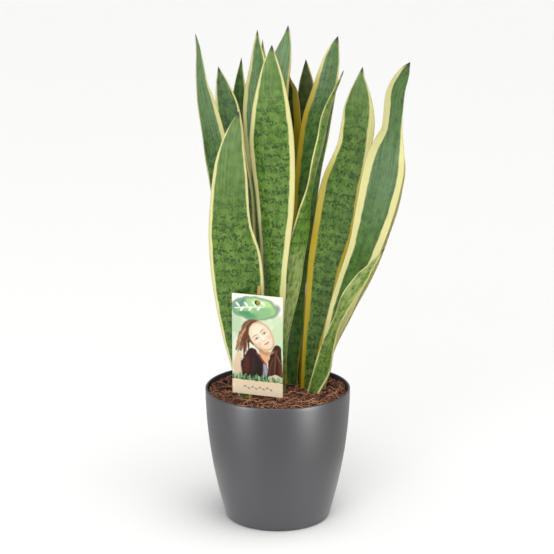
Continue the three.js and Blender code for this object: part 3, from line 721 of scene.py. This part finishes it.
def paint_card(x, y):
    """A person lying in grass under a green watercolour cloud with a white sprig, over a plain peach foot."""
    art = Picture(x, y, "#ece9df")
    lay, ellipse, stroke, blot = art.lay, art.ellipse, art.stroke, art.blot
    scene = np.maximum(22 - y, y - 113)
    lay(scene, "#e2e5d2", 6)
    lay(ellipse(5, 48, 15, 20) + 3 * blot(14, 1), "#a9c79c", 10, 0.8)
    lay(ellipse(9, 68, 12, 16) + 3 * blot(10, 16), "#d9e3c4", 9, 0.8)
    lay(ellipse(62, 52, 14, 26) + 3 * blot(12, 2), "#bfd6a8", 10, 0.85)
    lay(ellipse(46, 36, 15, 6) + 2 * blot(10, 3), "#c6dcae", 7, 0.7)
    # The cloud behind the sprig, with a shaded lower border.
    cloud = ellipse(29.5, 17.5, 29, 14.5) + 0.8 * blot(16, 4)
    lay(cloud - 1.2, "#6f8f73", 2.2, 0.85)
    lay(cloud + 0.4, "#9cc387", 1.4)
    lay(np.maximum(cloud + 1, ellipse(4, 9, 14, 11) + blot(9, 5)), "#4f837c", 6, 0.9)
    lay(np.maximum(cloud + 1, ellipse(18, 28, 17, 6) + blot(9, 6)), "#3f8f5f", 4, 0.9)
    lay(np.maximum(cloud + 1, ellipse(38, 22, 12, 8) + blot(7, 17)), "#86b67c", 5, 0.8)
    lay(np.maximum(cloud + 1, ellipse(40, 9, 17, 6) + blot(9, 7)), "#b7db92", 5, 0.8)
    lay(np.maximum(cloud, -(cloud + 1.6)), "#6c8e72", 0.8, 0.5)
    lay(stroke([(4, 19, 0.7), (20, 16.5, 0.7), (41, 15, 0.45)]), "#e9eee0", 0.6)
    for k in range(7):
        lean = -55 if k % 2 else 48
        rise = 2.9 if k % 2 else -2.9
        lay(ellipse(7.5 + 5.4 * k, 17 - 0.6 * k + rise, 3.7, 1.5, lean), "#e9eee0", 0.6)

    # Hair behind the head, swept to the left, and the strands that fall from it.
    lay(ellipse(27, 47, 15, 15, 36), "#5b3625", 2.0)
    lay(stroke([(24, 38, 3.0), (30, 35, 2.0), (38, 35, 1.0)]), "#a97a55", 2.4, 0.9)
    lay(stroke([(24, 42, 7), (15, 56, 6.5), (10, 72, 3.5)]), "#9a7350", 5, 0.8)
    strands = [((24, 38), (12, 52), (5, 74), 3.4, "#8a5a3c"), ((22, 42), (15, 58), (11, 74), 3.2, "#7a4a30"),
               ((26, 40), (17, 62), (15, 82), 2.8, "#5a3424"), ((21, 40), (10, 56), (6, 70), 0.9, "#b98a63"),
               ((25, 44), (19, 62), (18, 84), 1.0, "#9a6543"), ((24, 41), (13, 60), (6, 80), 0.6, "#47291e"),
               ((23, 38), (14, 50), (9, 66), 0.7, "#c49a72"), ((27, 46), (21, 60), (22, 80), 1.4, "#3b2018")]
    for a, b, c, w, code in strands:
        lay(stroke([(*a, w), (*b, w), (*c, w * 0.3)]) + 0.4 * blot(4, 8), code, 1.0)
    # The raised arm on the left, the dark top, and the long hair on the right.
    lay(stroke([(9, 80, 3.8), (5, 95, 4.8), (9, 108, 4.4)]), "#dcc3a3", 1.6)
    lay(stroke([(12, 84, 0.8), (11, 96, 0.8), (12, 104, 0.8)]), "#b8936f", 1.8, 0.7)
    lay(stroke([(26, 76, 6.5), (21, 92, 10), (22, 104, 9.5)]) + 0.25 * blot(7, 9), "#30130f", 1.6)
    lay(stroke([(34, 86, 9), (38, 102, 9.5)]) + 0.25 * blot(6, 10), "#27100c", 1.2)
    lay(stroke([(19, 84, 3), (18, 100, 3.4)]) + 0.9 * blot(5, 11), "#5c2418", 4, 0.7)
    lay(stroke([(28, 84, 1.6), (27, 100, 2.0)]) + 0.7 * blot(5, 12), "#33221f", 3, 0.8)
    lay(stroke([(34, 84, 1.2), (36, 98, 1.8)]) + 0.5 * blot(5, 18), "#1c0f12", 2, 0.8)
    lay(stroke([(58, 68, 5), (55, 84, 9), (56, 104, 9.5)]) + 0.2 * blot(5, 13), "#36180d", 1.4)
    for k, code in enumerate(["#6d3c24", "#4c2617", "#7d4c2c", "#22100a", "#5f321d", "#875a36"]):
        lay(stroke([(59 - k, 70, 0.5), (50 + 2.7 * k, 88, 0.9), (48 + 3 * k, 105, 0.7)]), code, 1.0, 0.75)
    lay(stroke([(42, 90, 1.8), (43, 99, 3.0), (42, 107, 2.4)]), "#a9a4ae", 1.6, 0.9)
    lay(stroke([(40, 92, 0.5), (42, 106, 0.5)]), "#6c6470", 1.0, 0.8)
    # Neck, with its shade under the jaw.
    lay(stroke([(40, 70, 6.2), (43, 80, 5.6), (44, 86, 2.4)]), "#dcae86", 1.0)
    lay(stroke([(36, 73, 1.6), (44, 76, 2.2), (52, 73, 1.4)]), "#b9825c", 2.2, 0.8)
    lay(stroke([(33, 76, 1.0), (40, 86, 1.3), (44, 90, 0.9)]), "#8a3a36", 1.0, 0.9)

    # The head: an egg shape 42 mm long and 31 mm wide, leaning to the left.
    lean = math.radians(40)

    def on_face(p, q):
        """A place on the face: p across and q down from its middle, as shares of half its size."""
        across, down = p * 15.6, q * 20.6
        right = 37.5 + across * math.cos(lean) + down * math.sin(lean)
        return right, 53.4 + down * math.cos(lean) - across * math.sin(lean)

    def face_ellipse(p, q, rx, ry, turn=0.0):
        return ellipse(*on_face(p, q), rx * 1.08, ry * 1.06, turn - 40)

    def face_line(*spots):
        return stroke([(*on_face(p, q), w) for p, q, w in spots])

    head = face_ellipse(0, -0.16, 14.4, 16.4)
    jaw = face_ellipse(0, 0.34, 10.9, 12.9)
    outline = np.minimum(head, jaw)
    cheeks = face_ellipse(0, 0.15, 13.0, 13.6)
    outline = np.minimum(outline, cheeks)
    lay(outline, "#dcbb97", 0.8)
    lay(np.maximum(outline + 1.4, -3), "#e9d3b4", 3.2)
    lay(face_ellipse(0.08, -0.02, 9.6, 13.2), "#f2e2c8", 6, 0.85)
    lay(np.maximum(outline, -(outline + 2.6)) + 0.3, "#bf8f66", 2.2, 0.5)
    # Cheeks, then the eye sockets' soft shade.
    for side in (-1, 1):
        lay(face_ellipse(0.52 * side, 0.3, 3.2, 2.6), "#dfa587", 4, 0.5)
        lay(face_ellipse(0.4 * side, -0.1, 3.6, 2.0), "#d3ab88", 3, 0.5)
    # Eyes halfway down the head, one eye's width apart, open and looking ahead.
    bends = (-1, -0.5, 0, 0.5, 1)
    for side in (-1, 1):
        white = np.maximum(face_ellipse(0.4 * side, -0.075, 3.0, 2.05),
                           face_ellipse(0.4 * side, -0.02, 3.0, 1.9))
        lay(white, "#f3ede2", 0.5)
        iris = np.maximum(white + 0.15, face_ellipse(0.4 * side, -0.05, 1.15, 1.15))
        lay(iris, "#5b3a22", 0.4)
        lay(np.maximum(white + 0.15, face_ellipse(0.4 * side, -0.05, 0.5, 0.5)), "#160d0a", 0.35)
        lay(face_ellipse(0.4 * side + 0.03, -0.072, 0.28, 0.28), "#ffffff", 0.3)
        lid = [(0.4 * side + 0.21 * k, -0.02 - 0.085 * (1 - k * k), 0.34 - 0.12 * abs(k)) for k in bends]
        lay(face_line(*lid), "#3a2018", 0.4)
        low = [(0.4 * side + 0.19 * k, -0.01 + 0.035 * (1 - k * k), 0.12) for k in bends]
        lay(face_line(*low), "#b98865", 0.4, 0.7)
        brow = [(0.4 * side + 0.26 * side * k, -0.235 - 0.05 * (1 - (k - 0.2) ** 2),
                 0.5 - 0.25 * abs(k + 0.2)) for k in bends]
        lay(face_line(*brow), "#6a452e", 0.6, 0.9)
    # Nose: a shaded side, a lit ridge and two nostrils. Then a closed, calm mouth.
    lay(face_line((-0.1, -0.05, 0.35), (-0.12, 0.16, 0.5), (-0.17, 0.27, 0.7)), "#e0b08a", 1.2, 0.6)
    lay(face_line((0.02, -0.08, 0.5), (0.02, 0.2, 0.8)), "#fffaf0", 1.2, 0.7)
    lay(face_line((-0.15, 0.3, 0.25), (0, 0.335, 0.35), (0.15, 0.3, 0.25)), "#cf9872", 0.7, 0.7)
    for side in (-1, 1):
        lay(face_ellipse(0.09 * side, 0.312, 0.55, 0.3), "#8f5a40", 0.4, 0.8)
    lay(face_line((-0.27, 0.53, 0.15), (-0.12, 0.495, 0.7), (0, 0.51, 0.6), (0.12, 0.495, 0.7),
                  (0.27, 0.53, 0.15)), "#d98f80", 0.5)
    lay(face_line((-0.25, 0.545, 0.15), (0, 0.585, 1.0), (0.25, 0.545, 0.15)), "#e5a393", 0.6)
    lay(face_line((-0.28, 0.53, 0.16), (-0.1, 0.54, 0.22), (0.1, 0.54, 0.22),
                  (0.28, 0.53, 0.16)), "#9c5148", 0.35)
    lay(face_line((-0.16, 0.7, 0.3), (0, 0.715, 0.45), (0.16, 0.7, 0.3)), "#e2b692", 1.4, 0.6)
    # The hairline, swept back from a side parting.
    lay(face_line((-0.98, 0.1, 0.9), (-1.0, -0.3, 1.7), (-0.8, -0.68, 2.2), (-0.4, -0.94, 2.0),
                  (0.1, -1.02, 1.4), (0.5, -0.93, 0.7)), "#5d3826", 0.9)
    lay(face_line((-0.86, -0.2, 0.4), (-0.74, -0.6, 0.7), (-0.35, -0.87, 0.5)), "#8a5a3d", 0.9, 0.7)
    lay(face_line((-0.95, 0.15, 0.5), (-0.9, 0.45, 0.6), (-0.7, 0.75, 0.4)), "#4a2b20", 0.8, 0.8)

    # Grass in front, a pale forearm, and the plain peach foot of the card with a small leaf border.
    blades = np.random.default_rng(11)
    lay(np.maximum(107.5 - y, y - 114) + 0.9 * blot(6, 14), "#2c4529", 1.6, 0.95)
    lay(stroke([(49, 109, 3.4), (56, 106.5, 4.0), (63, 109, 3.4)]), "#e6cfb0", 1.2)
    for _ in range(190):
        gx, base = blades.uniform(0, 65), blades.uniform(109, 114)
        tall, bend = blades.uniform(2.5, 7), blades.uniform(-3, 3)
        code = ["#5f9a5e", "#3f7d47", "#8fc184", "#26472b", "#b6d6a2"][int(blades.integers(5))]
        lay(stroke([(gx, base, 0.4), (gx + bend * 0.4, base - tall * 0.6, 0.3),
                    (gx + bend, base - tall, 0.1)]), code, 0.5)
    lay(113 - y + 0.5 * blot(12, 15), "#f3dcb8", 0.9)
    lay(119 - y + 0.5 * blot(12, 15), "#f8e8cb", 6, 0.8)
    lay(stroke([(14, 122.5, 0.22), (52, 122.5, 0.22)]), "#8d7450", 0.5, 0.8)
    for k in range(8):
        side = 1 if k % 2 else -1
        lay(ellipse(16.5 + 4.8 * k, 122.5 + 1.3 * side, 1.9, 0.75, 40 * side), "#85693f", 0.5, 0.85)
    return art.colour


def card_stock():
    """Satin printed card: the ink sits under a thin varnish, so it has a soft sheen."""
    material, tree = new_material("printed_card_stock")
    print_ink = add(tree, "Attribute", attribute_name="print_ink")["Vector"]
    where = add(tree, "TexCoord")["Object"]
    fibre = add(tree, "TexNoise", {"Vector": where, "Scale": 1500.0, "Detail": 2.0})["Fac"]
    bump = add(tree, "Bump", {"Strength": 0.08, "Distance": 0.0001, "Height": fibre})[0]
    finish_surface(tree, Base_Color=print_ink, Roughness=0.5, IOR=1.5, Specular_IOR_Level=0.25, Normal=bump)
    return material


def build_card():
    """A thin card with a round hole, very slightly bowed, printed in front and plain behind."""
    cell = 0.42
    columns, rows = round(CARD_WIDTH / cell), round(CARD_HEIGHT / cell)
    gx, gy = np.meshgrid(np.linspace(0, CARD_WIDTH, columns + 1), np.linspace(0, CARD_HEIGHT, rows + 1))
    x, y = gx.ravel(), gy.ravel()
    # Points beside the hole move onto its rim, and the cells inside it go.
    dx, dy = x - CARD_WIDTH / 2, y - HOLE_DROP
    away = np.hypot(dx, dy)
    near = np.abs(away - HOLE_RADIUS) < cell * 0.75
    pull = np.where(near, HOLE_RADIUS / np.maximum(away, 1e-6), 1)
    x, y = CARD_WIDTH / 2 + dx * pull, HOLE_DROP + dy * pull
    inside = away < HOLE_RADIUS - 1e-9
    inside[near] = False
    count = len(x)
    front, edges = [], {}
    for r in range(rows):
        for c in range(columns):
            a = r * (columns + 1) + c
            cell_points = (a, a + columns + 1, a + columns + 2, a + 1)
            in_hole = all(near[i] for i in cell_points) and away[list(cell_points)].mean() < HOLE_RADIUS
            if in_hole or any(inside[i] for i in cell_points):
                continue
            front.append(cell_points)
            for i in range(4):
                one, two = cell_points[i], cell_points[(i + 1) % 4]
                edges[(one, two)] = True
    borders = [(one, two) for one, two in edges if (two, one) not in edges]
    bow = 0.7 * ((x - CARD_WIDTH / 2) / (CARD_WIDTH / 2)) ** 2 * (y / CARD_HEIGHT)
    flat = np.stack([x - CARD_WIDTH / 2, bow - 0.35, CARD_HEIGHT / 2 - y], axis=1)
    half = np.array([0, CARD_THICKNESS / 2, 0])
    local = np.vstack([flat - half, flat + half])
    faces = front + [tuple(i + count for i in reversed(f)) for f in front]
    faces += [(two, one, one + count, two + count) for one, two in borders]
    used = np.zeros(2 * count, bool)
    used[[i for f in faces for i in f]] = True
    renumber = np.cumsum(used) - 1
    placed = np.array([CARD_FRAME @ Vector(p) for p in local[used]])
    plain = Picture(x, y, "#f4f2ea")
    ink = np.vstack([paint_card(x, y), plain.colour])
    new_piece("printed_care_card", placed, [tuple(int(renumber[i]) for i in f) for f in faces], card_stock(),
              "label_card", "card_stock", smooth=False, print_ink=ink[used])


def bamboo():
    """Split bamboo: pale straw with darker lengthwise fibres, dry and nearly matt."""
    material, tree = new_material("split_bamboo_stick")
    fibre_place = add(tree, "Attribute", attribute_name="grain")["Vector"]
    fibre = add(tree, "TexNoise", {"Vector": fibre_place, "Scale": 1.0, "Detail": 4.0})["Fac"]
    fibre = add(tree, "MapRange", {"Value": fibre, 1: 0.35, 2: 0.65})[0]
    colour = add(tree, "Mix", {0: fibre, 6: "#8d6d34", 7: "#c3a45c"}, data_type="RGBA")[2]
    bump = add(tree, "Bump", {"Strength": 0.3, "Distance": 0.0004, "Height": fibre})[0]
    finish_surface(tree, Base_Color=colour, Roughness=0.6, IOR=1.5, Normal=bump)
    return material


def build_stick():
    """The stick behind the card, with a cut top and a pointed end in the soil."""
    profile = [(0, -STICK_LENGTH), (0.5, -STICK_LENGTH), (STICK_RADIUS * 0.6, -STICK_LENGTH + 4)]
    profile += [(STICK_RADIUS, z) for z in np.linspace(-STICK_LENGTH + 9, -1, 40)]
    profile += [(STICK_RADIUS * 0.9, -0.4), (STICK_RADIUS * 0.7, 0), (0, 0)]
    points, faces = lathe(profile, 28)
    angle = np.arctan2(points[:, 1], points[:, 0])
    grain = np.stack([np.cos(angle) * 3, np.sin(angle) * 3, points[:, 2] / 22], axis=1)
    points[:, 0] += 0.35 * np.sin(points[:, 2] / 60)
    top_shift = (HOLE_DROP + STICK_RISE) * math.tan(STICK_TILT)
    behind = CARD_THICKNESS / 2 + 0.3 + STICK_RADIUS + 0.35
    stick_frame = (CARD_FRAME @ Matrix.Translation((top_shift, behind, CARD_HEIGHT / 2 + STICK_RISE))
                   @ Matrix.Rotation(STICK_TILT, 4, "Y"))
    placed = [stick_frame @ Vector(p) for p in points]
    new_piece("bamboo_stick", placed, faces, bamboo(), "label_stick", "stick_wood", grain=grain)


build_card()
build_stick()


# ---- floor, light and camera ----
CAMERA_PLACE, CAMERA_DIP, CAMERA_LENS = (-0.0009, -2.1, 0.848), 14.306, 113.07  # metres, degrees, mm


def build_floor():
    material, tree = new_material("white_paper_floor")
    # A matt white sweep of paper: it shows only the soft shadow under the pot.
    finish_surface(tree, Base_Color="#efefee", Roughness=0.9, IOR=1.45, Specular_IOR_Level=0.0)
    mesh = bpy.data.meshes.new("paper_floor")
    mesh.from_pydata([(-400, -400, 0), (400, -400, 0), (400, 400, 0), (-400, 400, 0)], [], [(0, 1, 2, 3)])
    mesh.materials.append(material)
    floor = bpy.data.objects.new("paper_floor", mesh)
    bpy.context.scene.collection.objects.link(floor)


def add_light(name, kind, place, target, power, **settings):
    lamp = bpy.data.lights.new(name, kind)
    lamp.energy = power
    for key, value in settings.items():
        setattr(lamp, key, value)
    held = bpy.data.objects.new(name, lamp)
    held.location = place
    held.rotation_euler = (Vector(target) - Vector(place)).to_track_quat("-Z", "Y").to_euler()
    held.visible_camera = False
    bpy.context.scene.collection.objects.link(held)
    return held


build_floor()
world = bpy.data.worlds.new("white_studio")
world.use_nodes = True
# The studio's walls glow evenly, and its ceiling is about half as bright.
way = add(world.node_tree, "TexCoord")["Generated"]
height = add(world.node_tree, "SeparateXYZ", {"Vector": way})["Z"]
glow = add(world.node_tree, "MapRange", {"Value": height, 1: 0.05, 2: 0.4, 3: 0.95, 4: 0.45})[0]
backdrop = world.node_tree.nodes["Background"]
backdrop.inputs["Color"].default_value = (1, 1, 1, 1)
world.node_tree.links.new(glow, backdrop.inputs["Strength"])
bpy.context.scene.world = world
add_light("broad_top_light", "SUN", (0.5, -0.6, 4.0), (0, 0, 0.3), 1.95, angle=math.radians(45))
add_light("front_softbox", "AREA", (-1.1, -3.0, 1.5), (0, 0, 0.3), 42,
          shape="RECTANGLE", size=2.0, size_y=1.4)
# Two low strips that show only as soft upright reflections on the pot.
only_pot = bpy.data.collections.new("lit_by_pot_lamps")
only_pot.objects.link(moulded_pot)
for side, place, power in (("left", (-0.6, -0.5, 0.12), 5), ("right", (0.56, -0.54, 0.12), 8)):
    strip = add_light(side + "_strip", "AREA", place, (0, 0, 0.1), power,
                      shape="RECTANGLE", size=0.14, size_y=0.24)
    strip.visible_diffuse = False
    strip.light_linking.receiver_collection = only_pot
# A weak disc of light on the floor, which brightens the foot of the pot's wall and nothing else.
floor_glow = add_light("floor_glow", "AREA", (0, 0, 0.002), (0, 0, 1), 0.2, shape="DISK", size=0.4)
floor_glow.light_linking.receiver_collection = only_pot

camera = bpy.data.objects.new("photo_camera", bpy.data.cameras.new("photo_camera"))
camera.location = CAMERA_PLACE
camera.rotation_euler = (math.radians(90 - CAMERA_DIP), 0, 0)
camera.data.sensor_width = 36
camera.data.lens = CAMERA_LENS
bpy.context.scene.collection.objects.link(camera)
bpy.context.scene.camera = camera
bpy.context.scene.view_settings.view_transform = "Standard"
